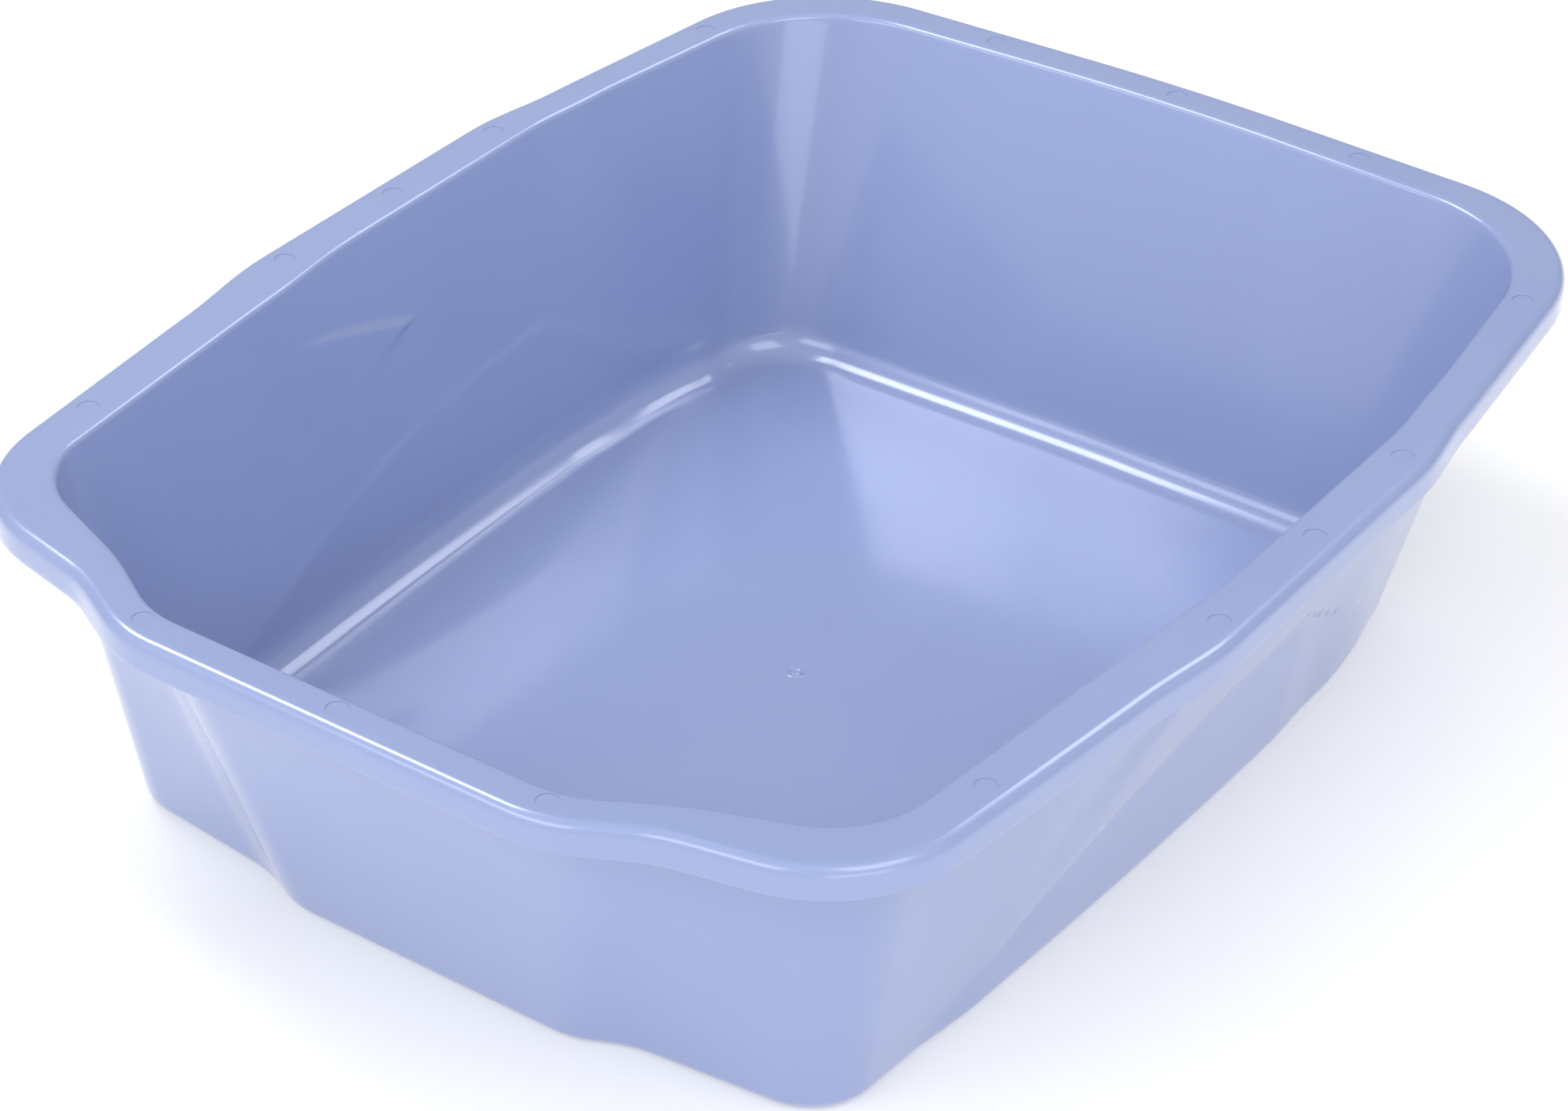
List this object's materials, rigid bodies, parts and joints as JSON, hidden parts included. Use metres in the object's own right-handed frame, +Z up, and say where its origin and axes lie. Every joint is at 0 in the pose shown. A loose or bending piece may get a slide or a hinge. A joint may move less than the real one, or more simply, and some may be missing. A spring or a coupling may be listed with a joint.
{
  "type": "utility pan",
  "caption": "Shallow open rectangular pan with rounded corners, drafted walls that bulge in their middle, a flat flanged rim and a turned-down skirt",
  "frame": {"origin": "on the resting face, on the mirror plane, 9.2 mm behind the middle of the plan", "axes": "+Z up out of the pan; +Y from the bulging front side to the plain back side, along the length; X across the width"},
  "size_m": [0.384, 0.4955, 0.124],
  "materials": {
    "pearl_plastic": "pearl periwinkle blue injection-moulded plastic, smooth and glossy with a faint shimmer"
  },
  "bodies": {
    "root": {"pan": "pearl_plastic"}
  },
  "joints": []
}
